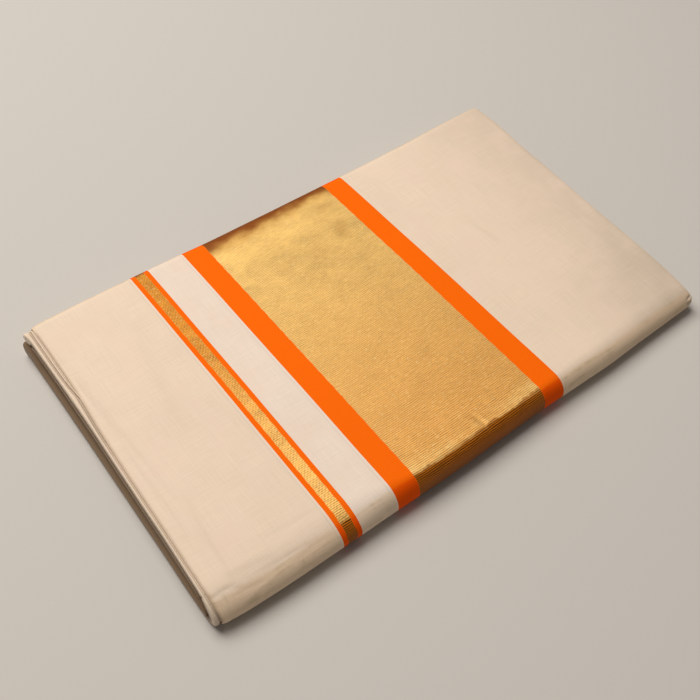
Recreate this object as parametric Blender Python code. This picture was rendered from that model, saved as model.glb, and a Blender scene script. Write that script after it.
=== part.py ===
"""Folded kasavu saree, lying flat on its widest face.

The cloth was pleated along its length and then folded twice in its width. What shows is one long
pad of plies bent round a front spine: an upper and a lower arm with a slit between them. The
outer ply is a wall right round that pad, in nine stretches of one weave: plain cotton, orange
yarn and gold yarn. A thick inner fold and a thin ply stand proud of it at the left end, a second
ply shows there near the back, and one rounded core stands for the hidden layers.

X runs along the bundle, Y from the front spine to the back, Z up. Lengths below are millimetres.
"""

import bmesh
import bpy
import numpy as np

MM = 0.001

# Walls and clearances
PLY = 1.4
SEAM = 0.3
CORE_GAP = 0.6
NOSE_UNDER = 10.0
NOSE_DEPTH = 12.5
SLIT_START = 15.0
BACK_ROLL = 8.0
SELVEDGE_INSET = 3.0
END_ROLL = 5.0

# Bundle seen along its length: how far the front and the back stand out from the middle line, the
# height of the top, how far back its front edge rolls, the slit's height, half its gap, and how
# far the front lifts off the surface below
BUNDLE = dict(zip(("along", "front", "back", "top", "roll", "slit", "gap", "lift"), np.array((
    (-225, 135.5, 138.0, 25.6, 25.0, 10.6, 2.2, 0.0),
    (-205, 137.6, 139.0, 26.0, 25.0, 10.8, 1.4, 0.0),
    (-180, 138.7, 139.0, 26.0, 25.0, 11.2, 0.7, 0.0),
    (-130, 139.0, 138.0, 26.0, 24.0, 11.5, 0.5, 0.0),
    (-90, 138.8, 136.8, 25.8, 15.0, 11.4, 0.5, 0.0),
    (-60, 139.0, 135.6, 25.4, 10.0, 11.2, 0.5, 0.0),
    (-20, 138.8, 135.2, 24.8, 9.5, 11.0, 0.5, 0.0),
    (50, 137.0, 135.0, 23.8, 10.5, 10.6, 0.5, 0.0),
    (80, 137.2, 135.0, 23.3, 12.5, 10.4, 0.5, 0.0),
    (120, 137.2, 135.6, 22.4, 15.0, 10.0, 0.5, 0.0),
    (150, 135.8, 136.6, 21.7, 16.5, 9.7, 0.5, 0.0),
    (180, 134.7, 137.8, 21.0, 18.0, 9.4, 0.5, 0.2),
    (225, 133.5, 139.0, 19.4, 17.0, 9.0, 0.5, 2.6),
)).T))

# Outline from above of both short ends: where the outer ply, the ply under it, the thick fold and
# the lower arm of that fold end on the left, and where the end roll reaches on the right
END_COLUMNS = ("across", "outer_ply", "second_ply", "fold", "lower_fold", "right_end")
ENDS = dict(zip(END_COLUMNS, np.array((
    (-139, -219.6, -210.0, -224.4, -225.0, 212.5),
    (-133, -219.9, -210.0, -223.9, -225.0, 211.6),
    (-122, -219.9, -210.0, -222.8, -224.9, 210.6),
    (-104, -219.5, -210.0, -221.9, -224.6, 212.2),
    (-75, -218.4, -210.0, -220.9, -223.9, 214.4),
    (-44, -217.5, -210.0, -220.2, -223.4, 216.0),
    (-12, -216.5, -210.0, -219.4, -222.9, 217.2),
    (24, -215.0, -210.2, -218.3, -222.2, 219.2),
    (50, -213.2, -212.0, -217.7, -221.8, 220.8),
    (76, -211.8, -213.8, -217.4, -221.4, 222.3),
    (96, -211.3, -213.8, -217.3, -221.3, 224.4),
    (112, -211.0, -213.5, -217.3, -221.2, 225.5),
    (126, -211.0, -213.2, -217.5, -221.3, 225.6),
    (134, -211.0, -213.0, -218.8, -221.6, 225.6),
    (139, -211.4, -213.0, -218.9, -221.4, 225.0),
)).T))

# Stretches of the outer ply from left to right, after the left end: name, width and yarn
FIRST_BAND = -129.0
BANDS = (
    ("narrow_orange_band_left", 3.5, "orange_yarn"),
    ("narrow_gold_band", 8.0, "gold_zari"),
    ("narrow_orange_band_right", 3.5, "orange_yarn"),
    ("cotton_field_middle", 30.0, "cotton"),
    ("wide_orange_band_left", 18.0, "orange_yarn"),
    ("wide_gold_panel", 116.5, "gold_zari"),
    ("wide_orange_band_right", 18.0, "orange_yarn"),
)
ROWS_BY_WIDTH = 15.0
LEFT_FIELD_ROWS = 7
RIGHT_FIELD_ROWS = 9

# Points round the pad, from the lower arm's selvedge along the underside, round the front nose,
# over the top and round the back roll to its tip; the same number comes back inside the slit
UNDERSIDE, NOSE_TIP, TOP_FRONT, TOP_BACK, ROLL_TIP = 4, 8, 13, 20, 24
ROUND = np.arange(2 * ROLL_TIP + 1)

# Where layers lie inside the outer ply, from the pad's outside, 0, to the slit, 1
SECOND_PLY = (0.0, 0.11)
THICK_FOLD = (0.0, 0.74)
THIN_PLY = (0.80, 0.95)
# The second ply is a strip at the back left, from this contour point on, and the thick fold makes
# room for it. The thick fold fills the lower arm, and droops there outside the outer ply's edge
SECOND_START = 17
SECOND_ROOM = 0.15
LOWER_DROOP = 0.26
NOSE_BLEND = 2
THICK_BULGE = 3.4
THIN_BULGE = 0.5
THIN_PROUD = 0.8
OUTER_RECESS = -209.0
FOLD_SHELF = -207.0
FOLD_REACH = -198.0
CORE_START = FOLD_REACH + SEAM
CORE_ROWS = 9
LEAVES = 4
LEAF_GROOVE = 1.6
LEAF_PROUD = 0.6

# The top's crown, and the height, length and place of the soft swells that pressed cloth keeps
CROWN = 0.7
CROWN_WIDTH = 110.0
SWELL = 0.35
SWELL_ALONG = 31.0
SWELL_SLANT = 47.0
SWELL_ACROSS = 38.0
SWELL_TURN = 0.5
SWELL_WIDTH = 128.0
SWELL_FADE = 4.0

# Turns of the rounded ends in degrees, and the angle from which an edge is left sharp
PLY_CAP = (30, 60, 90)
CORE_CAP = (30, 60, 82)
FOLD_CAP = (90, 54, 18, -18, -54, -90)
SHARP = 50

# Colour, roughness and metallic value of each yarn
YARNS = {
    "cotton": ((0.83, 0.71, 0.55), 0.85, 0.0),
    "orange_yarn": ((0.95, 0.16, 0.01), 0.7, 0.0),
    "gold_zari": ((0.78, 0.47, 0.15), 0.38, 0.85),
    "inner_cotton": ((0.78, 0.66, 0.5), 0.9, 0.0),
}


def curve(data, key, column, at):
    """One column of a table, read by a smooth curve through its rows."""
    knots = data[key]
    values = data[column]
    slopes = np.gradient(values, knots)
    row = np.clip(np.searchsorted(knots, at) - 1, 0, len(knots) - 2)
    step = knots[row + 1] - knots[row]
    t = np.clip((at - knots[row]) / step, 0.0, 1.0)
    ease = t * t * (3 - 2 * t)
    blend = values[row] * (1 - ease) + values[row + 1] * ease
    lean = slopes[row] * t * (1 - t) ** 2 - slopes[row + 1] * t * t * (1 - t)
    return blend + step * lean


def bundle(column, x):
    return curve(BUNDLE, "along", column, x)


def end(column, y):
    return curve(ENDS, "across", column, y)


def top_height(x, y):
    """Height of the top: a slight crown and the soft swells that pressed cloth keeps."""
    crown = CROWN * (1 - (y / CROWN_WIDTH) ** 2)
    swell = np.sin(x / SWELL_ALONG + y / SWELL_SLANT) * np.cos(y / SWELL_ACROSS - SWELL_TURN)
    inland = np.clip((1 - np.abs(y) / SWELL_WIDTH) * SWELL_FADE, 0, 1)
    return bundle("top", x) + crown + SWELL * swell * inland


def outside(s, x):
    """A point of the pad's outside: s counts points from the selvedge to the back roll's tip."""
    front = -bundle("front", x)
    back = bundle("back", x)
    roll = bundle("roll", x)
    middle = bundle("slit", x)
    edge = front + roll
    hinge = back - BACK_ROLL
    under = s / UNDERSIDE
    low = np.clip((s - UNDERSIDE) / (NOSE_TIP - UNDERSIDE), 0, 1) * np.pi / 2
    high = np.clip((s - NOSE_TIP) / (TOP_FRONT - NOSE_TIP), 0, 1) * np.pi / 2
    flat = (s - TOP_FRONT) / (TOP_BACK - TOP_FRONT)
    turn = np.clip((s - TOP_BACK) / (ROLL_TIP - TOP_BACK), 0, 1) * np.pi / 2
    lift = np.maximum(bundle("lift", x), 0.0)
    back_top = top_height(x, hinge)
    back_middle = (back_top + middle + bundle("gap", x)) / 2
    part = [s <= UNDERSIDE, s <= NOSE_TIP, s <= TOP_FRONT, s <= TOP_BACK, s > TOP_BACK]
    y = np.select(part, [
        (back - SELVEDGE_INSET) * (1 - under) + (front + NOSE_UNDER) * under,
        front + NOSE_UNDER * (1 - np.sin(low)),
        front + roll * (1 - np.cos(high)),
        edge * (1 - flat) + hinge * flat,
        hinge + BACK_ROLL * np.sin(turn),
    ])
    z = np.select(part, [
        lift * np.clip(s - UNDERSIDE + 1, 0, 1),
        lift + (middle - lift) * (1 - np.cos(low)),
        middle + (top_height(x, edge) - middle) * np.sin(high),
        top_height(x, y),
        back_middle + (back_top - back_middle) * np.cos(turn),
    ])
    return y, z


def inside(s, x):
    """The point across the pad from the one that outside gives: on a face of the slit."""
    front = -bundle("front", x)
    back = bundle("back", x)
    middle = bundle("slit", x)
    gap = bundle("gap", x)
    tip = front + NOSE_DEPTH
    start = front + np.maximum(bundle("roll", x), SLIT_START)
    hinge = back - BACK_ROLL
    under = s / UNDERSIDE
    low = np.clip((s - UNDERSIDE) / (NOSE_TIP - UNDERSIDE), 0, 1) * np.pi / 2
    high = np.clip((s - NOSE_TIP) / (TOP_FRONT - NOSE_TIP), 0, 1) * np.pi / 2
    flat = (s - TOP_FRONT) / (TOP_BACK - TOP_FRONT)
    turn = np.clip((s - TOP_BACK) / (ROLL_TIP - TOP_BACK), 0, 1) * np.pi / 2
    back_middle = (top_height(x, hinge) + middle + gap) / 2
    part = [s <= UNDERSIDE, s <= NOSE_TIP, s <= TOP_FRONT, s <= TOP_BACK, s > TOP_BACK]
    y = np.select(part, [
        (back - SELVEDGE_INSET) * (1 - under) + (front + SLIT_START) * under,
        tip + (SLIT_START - NOSE_DEPTH) * (1 - np.sin(low)),
        tip + (start - tip) * (1 - np.cos(high)),
        start * (1 - flat) + hinge * flat,
        hinge + BACK_ROLL * np.sin(turn),
    ])
    z = np.select(part, [
        middle - gap,
        middle - gap * np.cos(low),
        middle + gap * np.sin(high),
        middle + gap,
        back_middle - (back_middle - middle - gap) * np.cos(turn),
    ])
    return y, z


def pad(s, x):
    """A point of the whole contour: outside up to the back roll's tip, and then back inside."""
    partner = 2 * ROLL_TIP - s
    out = outside(np.minimum(s, partner), x)
    back = inside(np.minimum(s, partner), x)
    return (np.where(s <= ROLL_TIP, out[0], back[0]), np.where(s <= ROLL_TIP, out[1], back[1]))


def contour(s, x, depth):
    """The pad's contour moved inward by depth, at its own place x along the bundle."""
    reach = 0.5
    before = pad(np.maximum(s - reach, 0.0), x)
    after = pad(np.minimum(s + reach, 2.0 * ROLL_TIP), x)
    y, z = pad(s, x)
    dy = after[0] - before[0]
    dz = after[1] - before[1]
    size = np.hypot(dy, dz)
    return np.stack([y + depth * dz / size, z - depth * dy / size], axis=-1)


def end_across(s):
    """How far across the bundle a contour point lies, for reading the outline of its ends."""
    return outside(np.minimum(s, 2 * ROLL_TIP - s), 0 * s + FOLD_REACH)[0]


def new_object(name, yarn, mesh):
    """One named piece with its own material, shaded smooth but for its cut edges."""
    bmesh.ops.recalc_face_normals(mesh, faces=mesh.faces)
    if mesh.calc_volume(signed=True) < 0:
        bmesh.ops.reverse_faces(mesh, faces=mesh.faces)
    data = bpy.data.meshes.new(name)
    mesh.to_mesh(data)
    mesh.free()
    data.shade_smooth()
    data.set_sharp_from_angle(angle=np.radians(SHARP))
    colour, roughness, metallic = YARNS[yarn]
    material = bpy.data.materials.new(name + "_" + yarn)
    material.use_nodes = True
    shader = material.node_tree.nodes["Principled BSDF"]
    shader.inputs["Base Color"].default_value = (*colour, 1.0)
    shader.inputs["Roughness"].default_value = roughness
    shader.inputs["Metallic"].default_value = metallic
    data.materials.append(material)
    piece = bpy.data.objects.new(name, data)
    bpy.context.scene.collection.objects.link(piece)
    return piece


def add_row(mesh, x, points, zipped=False):
    """One ring of vertices; a zipped ring meets itself point for point across the pad."""
    count = len(points)
    x = np.broadcast_to(x, (count,))
    row = []
    for number in range(count):
        if zipped and number > count // 2:
            row.append(row[count - 1 - number])
        else:
            y, z = points[number]
            row.append(mesh.verts.new((x[number] * MM, y * MM, z * MM)))
    return row


def add_strip(mesh, first, second):
    """Faces between two rows of vertices."""
    for a, b, c, d in zip(first, first[1:], second[1:], second):
        corners = list(dict.fromkeys((a, b, c, d)))
        if len(corners) > 2:
            mesh.faces.new(corners)


def outer_ply(name, yarn, left, right, rows, closed_right=False):
    """A stretch of the outer ply, a wall right round the pad from left to right."""
    mesh = bmesh.new()
    skins = []
    for depth in (0.0, PLY):
        skin = []
        for share in np.linspace(0, 1, rows):
            x = left + (right - left) * share
            skin.append(add_row(mesh, x, contour(ROUND, x, depth)))
        if closed_right:
            points = contour(ROUND, right, depth)
            middle = (points + points[::-1]) / 2
            for turn in PLY_CAP:
                x = right + (END_ROLL - depth) * np.sin(np.radians(turn))
                squeezed = middle + (points - middle) * np.cos(np.radians(turn))
                skin.append(add_row(mesh, x, squeezed, zipped=turn == PLY_CAP[-1]))
        skins.append(skin)
    for skin in skins:
        for first, second in zip(skin, skin[1:]):
            add_strip(mesh, first, second)
    add_strip(mesh, skins[0][0], skins[1][0])
    if not closed_right:
        add_strip(mesh, skins[0][-1], skins[1][-1])
    for side in (0, -1):
        add_strip(mesh, [row[side] for row in skins[0]], [row[side] for row in skins[1]])
    return new_object(name, yarn, mesh)


def layer_point(s, x, share):
    """A point inside the outer ply, at a share of the way from the outside to the slit."""
    out = contour(s, x, PLY + CORE_GAP)
    slit = contour(2 * ROLL_TIP - s, x, PLY + CORE_GAP)
    return out + (slit - out) * np.reshape(share, (-1, 1))


def inner_layer(name, stops, near, far, edge, bulge, droop=0.0):
    """A layer that ends in a rounded edge at the left, between two shares of the pad's depth.

    Its outer face meets the outer ply from FOLD_SHELF on, and may droop between that and its edge.
    """
    mesh = bmesh.new()
    near_edge = near - droop
    centre = (near_edge + far) / 2
    half = (far - near_edge) / 2
    profile = [(0 * stops + FOLD_REACH, near), (0 * stops + FOLD_SHELF, near)]
    for angle in np.radians(FOLD_CAP):
        profile.append((edge + bulge * (1 - np.cos(angle)), centre - half * np.sin(angle)))
    profile.append((0 * stops + FOLD_REACH, far))
    rows = [add_row(mesh, x, layer_point(stops, x, share)) for x, share in profile]
    rows.append(rows[0])
    for first, second in zip(rows, rows[1:]):
        add_strip(mesh, first, second)
    for side in (0, -1):
        mesh.faces.new([row[side] for row in rows[:-1]])
    return new_object(name, "inner_cotton", mesh)


def back_leaves(points):
    """The lower arm's back: plies that end in a row of leaves, from the slit to the underside."""
    upper = points[-1]
    lower = points[0]
    steps = np.arange(1, 2 * LEAVES)
    share = (steps / (2 * LEAVES))[:, None]
    leaves = upper * (1 - share) + lower * share
    leaves[:, 0] += np.where(steps % 2, LEAF_PROUD, -LEAF_GROOVE)
    return leaves


def hidden_core():
    """One rounded solid for the layers that nothing shows, with leaves at the open back."""
    mesh = bmesh.new()
    depth = PLY + CORE_GAP
    right = end("right_end", end_across(ROUND)) - END_ROLL
    rows = []
    for share in np.linspace(0, 1, CORE_ROWS):
        x = CORE_START + (right - CORE_START) * share
        points = contour(ROUND, x, depth)
        leaves = back_leaves(points)
        reach = np.concatenate([x, np.full(len(leaves), x[0])])
        rows.append(add_row(mesh, reach, np.concatenate([points, leaves])))
    points = np.concatenate([points, leaves])
    reach = np.concatenate([right, np.full(len(leaves), right[0])])
    count = len(ROUND)
    mirror = np.concatenate([ROUND[::-1], np.arange(len(points) - 1, count - 1, -1)])
    middle = (points + points[mirror]) / 2
    for angle in np.radians(CORE_CAP):
        x = reach + (END_ROLL - depth) * np.sin(angle)
        rows.append(add_row(mesh, x, middle + (points - middle) * np.cos(angle)))
    for first, second in zip(rows, rows[1:]):
        add_strip(mesh, first + first[:1], second + second[:1])
    for row in (rows[0], rows[-1]):
        for number in range(count // 2):
            partner = count - 1 - number
            corners = (row[number], row[number + 1], row[partner - 1], row[partner])
            mesh.faces.new(list(dict.fromkeys(corners)))
        back = [row[0], *reversed(row[count:]), row[count - 1]]
        mesh.faces.new(back)
    return new_object("hidden_layers_core", "inner_cotton", mesh)


def outer_stretches():
    """The outer ply from the left end to the right: fields of cotton with the bands between."""
    across = end_across(ROUND)
    shows = (ROUND >= UNDERSIDE) & (ROUND <= ROLL_TIP)
    left = np.where(shows, end("outer_ply", across), OUTER_RECESS)
    outer_ply("cotton_field_left", "cotton", left, FIRST_BAND - SEAM / 2, LEFT_FIELD_ROWS)
    place = FIRST_BAND
    for name, width, yarn in BANDS:
        rows = 2 + int(width / ROWS_BY_WIDTH)
        left = np.full(len(ROUND), place + SEAM / 2)
        outer_ply(name, yarn, left, place + width - SEAM / 2, rows)
        place += width
    left = np.full(len(ROUND), place + SEAM / 2)
    right = end("right_end", across) - END_ROLL
    outer_ply("cotton_field_right", "cotton", left, right, RIGHT_FIELD_ROWS, closed_right=True)


def thick_fold():
    """The thick roll at the left end, whose lower arm is the rim that meets the surface."""
    stops = np.arange(0.0, ROLL_TIP)
    across = end_across(stops)
    lower = np.clip((NOSE_TIP - stops) / NOSE_BLEND, 0, 1)
    under = np.clip(UNDERSIDE - stops, 0, 1)
    room = SECOND_ROOM * np.clip(stops - SECOND_START + 1, 0, 1)
    near = THICK_FOLD[0] + room
    far = THICK_FOLD[1] + (1 - THICK_FOLD[1]) * lower
    edge = end("fold", across) * (1 - lower) + end("lower_fold", across) * lower
    inner_layer("thick_inner_fold", stops, near, far, edge, THICK_BULGE, LOWER_DROOP * under)


def thin_layer(name, start, shares, edge_column, proud):
    """A single ply at the left end, from one contour point to the back roll."""
    stops = np.arange(float(start), ROLL_TIP)
    near = shares[0] + 0 * stops
    far = shares[1] + 0 * stops
    edge = end(edge_column, end_across(stops)) - proud
    inner_layer(name, stops, near, far, edge, THIN_BULGE)


def build():
    for old in list(bpy.data.objects):
        bpy.data.objects.remove(old)
    outer_stretches()
    thick_fold()
    thin_layer("thin_inner_ply", NOSE_TIP, THIN_PLY, "fold", THIN_PROUD)
    thin_layer("second_ply", SECOND_START, SECOND_PLY, "second_ply", 0.0)
    hidden_core()


build()
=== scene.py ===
"""Looks of the folded kasavu saree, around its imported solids.

The outer ply is shaped as one weave right round the bundle and cut at its bands, so that cotton,
orange yarn and gold yarn meet without a gap. Lengths are millimetres until a mesh is made. X runs
along the bundle, Y from the front spine to the open back, Z up.
"""

import bmesh
import bpy
import numpy as np
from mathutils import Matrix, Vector


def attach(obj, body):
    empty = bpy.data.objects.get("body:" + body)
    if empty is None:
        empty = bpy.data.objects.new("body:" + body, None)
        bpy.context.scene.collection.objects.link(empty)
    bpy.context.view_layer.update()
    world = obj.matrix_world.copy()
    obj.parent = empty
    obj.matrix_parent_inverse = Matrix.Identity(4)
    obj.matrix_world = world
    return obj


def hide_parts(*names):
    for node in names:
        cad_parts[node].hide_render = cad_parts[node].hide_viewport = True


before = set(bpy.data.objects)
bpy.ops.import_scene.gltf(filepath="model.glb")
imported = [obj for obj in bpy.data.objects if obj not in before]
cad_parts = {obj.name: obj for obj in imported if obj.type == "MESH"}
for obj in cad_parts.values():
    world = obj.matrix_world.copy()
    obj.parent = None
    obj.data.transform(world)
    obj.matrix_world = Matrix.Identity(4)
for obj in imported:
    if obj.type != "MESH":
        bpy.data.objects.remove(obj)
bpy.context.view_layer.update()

MM = 0.001

# Camera, in metres and degrees, with its lens and sensor in millimetres
CAMERA_AZIMUTH = -36.96
CAMERA_ELEVATION = 51.84
CAMERA_DISTANCE = 0.7693
CAMERA_TARGET = (-0.0245, -0.0064, 0.0)
CAMERA_LENS = 52.48
CAMERA_SENSOR = 36.0

# Floor, from its middle to its edge, and lights, in metres and watts
FLOOR_REACH = 20.0
FLOOR_COLOUR = (0.60, 0.585, 0.56)
FLOOR_ROUGHNESS = 0.95
KEY_PLACE = (-0.30, 0.92, 2.10)
KEY_SIZE = 1.7
KEY_POWER = 56.0
KEY_COLOUR = (1.0, 0.93, 0.855)
AROUND_COLOUR = (1.0, 0.92, 0.85)
AROUND_STRENGTH = 0.15

# Sizes of the solids, which the cloth follows
PLY = 1.4
SEAM = 0.3
CORE_GAP = 0.6
NOSE_UNDER = 10.0
NOSE_DEPTH = 12.5
SLIT_START = 15.0
BACK_ROLL = 8.0
SELVEDGE_INSET = 3.0
END_ROLL = 5.0
OUTER_RECESS = -209.0
FOLD_REACH = -198.0

# Bundle seen along its length: how far the front and the back stand out from the middle line, the
# height of the top, how far back its front edge rolls, the slit's height, half its gap, and how
# far the front lifts off the surface below
BUNDLE = dict(zip(("along", "front", "back", "top", "roll", "slit", "gap", "lift"), np.array((
    (-225, 135.5, 138.0, 25.6, 25.0, 10.6, 2.2, 0.0),
    (-205, 137.6, 139.0, 26.0, 25.0, 10.8, 1.4, 0.0),
    (-180, 138.7, 139.0, 26.0, 25.0, 11.2, 0.7, 0.0),
    (-130, 139.0, 138.0, 26.0, 24.0, 11.5, 0.5, 0.0),
    (-90, 138.8, 136.8, 25.8, 15.0, 11.4, 0.5, 0.0),
    (-60, 139.0, 135.6, 25.4, 10.0, 11.2, 0.5, 0.0),
    (-20, 138.8, 135.2, 24.8, 9.5, 11.0, 0.5, 0.0),
    (50, 137.0, 135.0, 23.8, 10.5, 10.6, 0.5, 0.0),
    (80, 137.2, 135.0, 23.3, 12.5, 10.4, 0.5, 0.0),
    (120, 137.2, 135.6, 22.4, 15.0, 10.0, 0.5, 0.0),
    (150, 135.8, 136.6, 21.7, 16.5, 9.7, 0.5, 0.0),
    (180, 134.7, 137.8, 21.0, 18.0, 9.4, 0.5, 0.2),
    (225, 133.5, 139.0, 19.4, 17.0, 9.0, 0.5, 2.6),
)).T))

# Outline from above of both short ends: where the outer ply, the ply under it, the thick fold and
# the lower arm of that fold end on the left, and where the end roll reaches on the right
END_COLUMNS = ("across", "outer_ply", "second_ply", "fold", "lower_fold", "right_end")
ENDS = dict(zip(END_COLUMNS, np.array((
    (-139, -219.6, -210.0, -224.4, -225.0, 212.5),
    (-133, -219.9, -210.0, -223.9, -225.0, 211.6),
    (-122, -219.9, -210.0, -222.8, -224.9, 210.6),
    (-104, -219.5, -210.0, -221.9, -224.6, 212.2),
    (-75, -218.4, -210.0, -220.9, -223.9, 214.4),
    (-44, -217.5, -210.0, -220.2, -223.4, 216.0),
    (-12, -216.5, -210.0, -219.4, -222.9, 217.2),
    (24, -215.0, -210.2, -218.3, -222.2, 219.2),
    (50, -213.2, -212.0, -217.7, -221.8, 220.8),
    (76, -211.8, -213.8, -217.4, -221.4, 222.3),
    (96, -211.3, -213.8, -217.3, -221.3, 224.4),
    (112, -211.0, -213.5, -217.3, -221.2, 225.5),
    (126, -211.0, -213.2, -217.5, -221.3, 225.6),
    (134, -211.0, -213.0, -218.8, -221.6, 225.6),
    (139, -211.4, -213.0, -218.9, -221.4, 225.0),
)).T))

# Stretches of the outer ply from left to right, after the left end: name, width and yarn
FIRST_BAND = -129.0
BANDS = (
    ("narrow_orange_band_left", 3.5, "orange_yarn"),
    ("narrow_gold_band", 8.0, "gold_zari"),
    ("narrow_orange_band_right", 3.5, "orange_yarn"),
    ("cotton_field_middle", 30.0, "cotton"),
    ("wide_orange_band_left", 18.0, "orange_yarn"),
    ("wide_gold_panel", 116.5, "gold_zari"),
    ("wide_orange_band_right", 18.0, "orange_yarn"),
)
BAND_EDGES = np.cumsum([FIRST_BAND, *(width for _, width, _ in BANDS)]).tolist()

# Stations round the pad, as in the solids: the underside's front end, the nose, the top's two ends
# and the back roll's tip; the same number comes back inside the slit
UNDERSIDE, NOSE_TIP, TOP_FRONT, TOP_BACK, ROLL_TIP = 4, 8, 13, 20, 24
LAST = 2 * ROLL_TIP
# Over how much of a station the contour's direction is read
CONTOUR_STEP = 0.3
# How finely the cloth is drawn: the end of each stretch of stations and its number of cells, which
# come back in the same way inside the slit
ROUND_CELLS = ((UNDERSIDE, 24), (NOSE_TIP, 12), (TOP_FRONT, 26), (TOP_BACK, 140), (ROLL_TIP, 12))
# Along the bundle: the longest cell, the fewest in a stretch, and those in the right end's roll
CELL = 1.75
NARROWEST_CELLS = 3
CAP_CELLS = 30
# Lengths and areas too small to have a direction
NO_LENGTH = 1e-6
NO_AREA = 1e-9
# Points this close are one in a closed sheet, and edges this short are dissolved, in metres
SAME_POINT = 1e-6
NO_EDGE = 1e-7

# Layers inside the outer ply, as in the solids: from the pad's outside, 0, to the slit, 1
SECOND_PLY = (0.0, 0.11)
THICK_FOLD = (0.0, 0.74)
THIN_PLY = (0.80, 0.95)
SECOND_START = 17
SECOND_ROOM = 0.15
LOWER_DROOP = 0.26
NOSE_BLEND = 2
THICK_BULGE = 3.4
THIN_BULGE = 0.5
THIN_PROUD = 0.8

# The top's crown and its soft swells, as in the solids
CROWN = 0.7
CROWN_WIDTH = 110.0
SWELL = 0.35
SWELL_ALONG = 31.0
SWELL_SLANT = 47.0
SWELL_ACROSS = 38.0
SWELL_TURN = 0.5
SWELL_WIDTH = 128.0
SWELL_FADE = 4.0

# The outer ply's left edge and its selvedges are turned in: radius, how far the turning goes, and
# how finely both are drawn
EDGE_RADIUS = 0.7
EDGE_CELLS = 8
EDGE_TURNING = 8.0
TURNING_CELLS = 3
HEM_RADIUS = 0.5
HEM_TURNING = 6.0
HEM_CELLS = 8
# Its top dips towards that edge, and soft shade is painted on it beside that edge
DIP = 0.7
DIP_LENGTH = 2.6
DIP_SHARES = (0.0, 0.14, 0.3, 0.5, 0.75)
EDGE_SHADE = 0.4
EDGE_SHADE_WIDTH = 1.2

# How a folded edge wavers: size, length, and how strongly the layer's own phase shifts it
WAVER = ((0.08, 27.0, 1.0), (0.03, 9.3, 2.1))
OUTER_PHASE = 0.3
THICK_PHASE = 1.7
THIN_PHASE = 2.9
SECOND_PHASE = 4.4

# At the left end the roll and the second ply swell up beside the ply above them, past a groove
ROLL_CREST = -0.18
SECOND_CREST = -0.15
CREST_PLACE = 0.4
GROOVE = 0.9
# How much painted shade is added on the way down into the groove
GROOVE_SHADE = 0.2
ROLL_SQUARENESS = 4.0
ROLL_CELLS = 36
SHOULDER_CELLS = 8
# Past the groove they run on inside, with painted shade: shares of the way to their hidden end, and
# that shade
INSIDE_SHARES = (0.35, 0.7, 1.0)
INSIDE_SHADE = 0.6
# How far an inner layer stops short of the back roll's tip, and the least step to that stop, in
# stations
LAYER_SHORT = 1.0
LEAST_STEP = 0.2
# A small nick in their edges near the front, with a little painted shade in it
NICK_PLACE = -122.3
NICK_WIDTH = 1.0
NICK_DEPTH = 0.35
NICK_SHADE = 0.14
# Where their edge has turned up past an angle in degrees it is left lit, and below that shade is
# painted on it: the angle on the roll, how much lower it is on the rim and on the nub, and the
# painted shades
LIT_TURN = 22.0
ROLL_LIT_FROM = -6.0
RIM_LIT_LOWER = 40.0
NUB_LIT_LOWER = 70.0
RIM_SHADE = 0.9
ROLL_UNDER_SHADE = 0.9
NUB_LIGHTER = 0.4
THIN_LIT_FROM = -30.0
THIN_SHADE = 0.8
THIN_UNDER_SHADE = 0.95
# Painted shade deepens on the roll and thin plies towards the near left corner: from where, what width
ROLL_DARK_FROM = -124.0
ROLL_DARK_WIDTH = 10.0
ROLL_DARK = 0.16
THIN_DARK_FROM = -100.0
THIN_DARK_WIDTH = 25.0
THIN_DARK = 0.97
# At the back the roll ends in a round nub with lighter painted shade, which covers the thin ply below
# it
NUB_FROM = 126.0
NUB_FULL = 131.0
NUB_COVER = 5.0
NUB_HANG = 0.24
NUB_SHELF = 1.5
# Both ends of an inner layer are rounded off and closed, and show the plies nested in them
LAYER_ROUND = 1.3
LAYER_TURNS = np.radians(np.arange(90, 0, -5))
LAYER_FOLDS = 3
LAYER_END_GROOVE = 0.8
# At the closed ends the painted shade fades: what stays of it at the end, and how fast it fades
LAYER_END_SHADE = 0.12
LAYER_END_FADE = 3
# The lower rim rises at the back left corner, where its plies curl up into the slit
RIM_RISES_FROM = 112.0
RIM_RISEN = 132.0
RIM_RISE = 1.65

# Nested folds at the right end: the grooves between them, by what turn in radians these are at
# full depth, and how full a nested fold is, there and in the inner layers
END_FOLDS = 5
END_GROOVE = 0.9
END_GROOVES_FULL = 1 / 3
FOLD_FULLNESS = 0.6
# A soft line runs just inside the rolled edge of the right end
END_LINE_TURN = 0.24
END_LINE_WIDTH = 0.11
END_LINE_DEPTH = 0.045

# The hidden layers: how finely they are drawn, and where deep shade is painted on them behind the gap
CORE_COLUMNS = 200
CORE_CAP_CELLS = 6
DARK_INSIDE_TO = -190.0
DARK_INSIDE_BACK = 125.0
# The plies' edges at the open back, finer than in the solids
LEAVES = 11
LEAF_GROOVE = 3.2
LEAF_CELLS = 6
LEAF_FULLNESS = 0.5
# How they waver: size, length, by how much and for how many leaves the length grows, and turn
LEAF_WAVES = ((0.5, 19.0, 3.0, 4, 1.9), (0.35, 7.3, 1.0, 3, 2.7))

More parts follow.
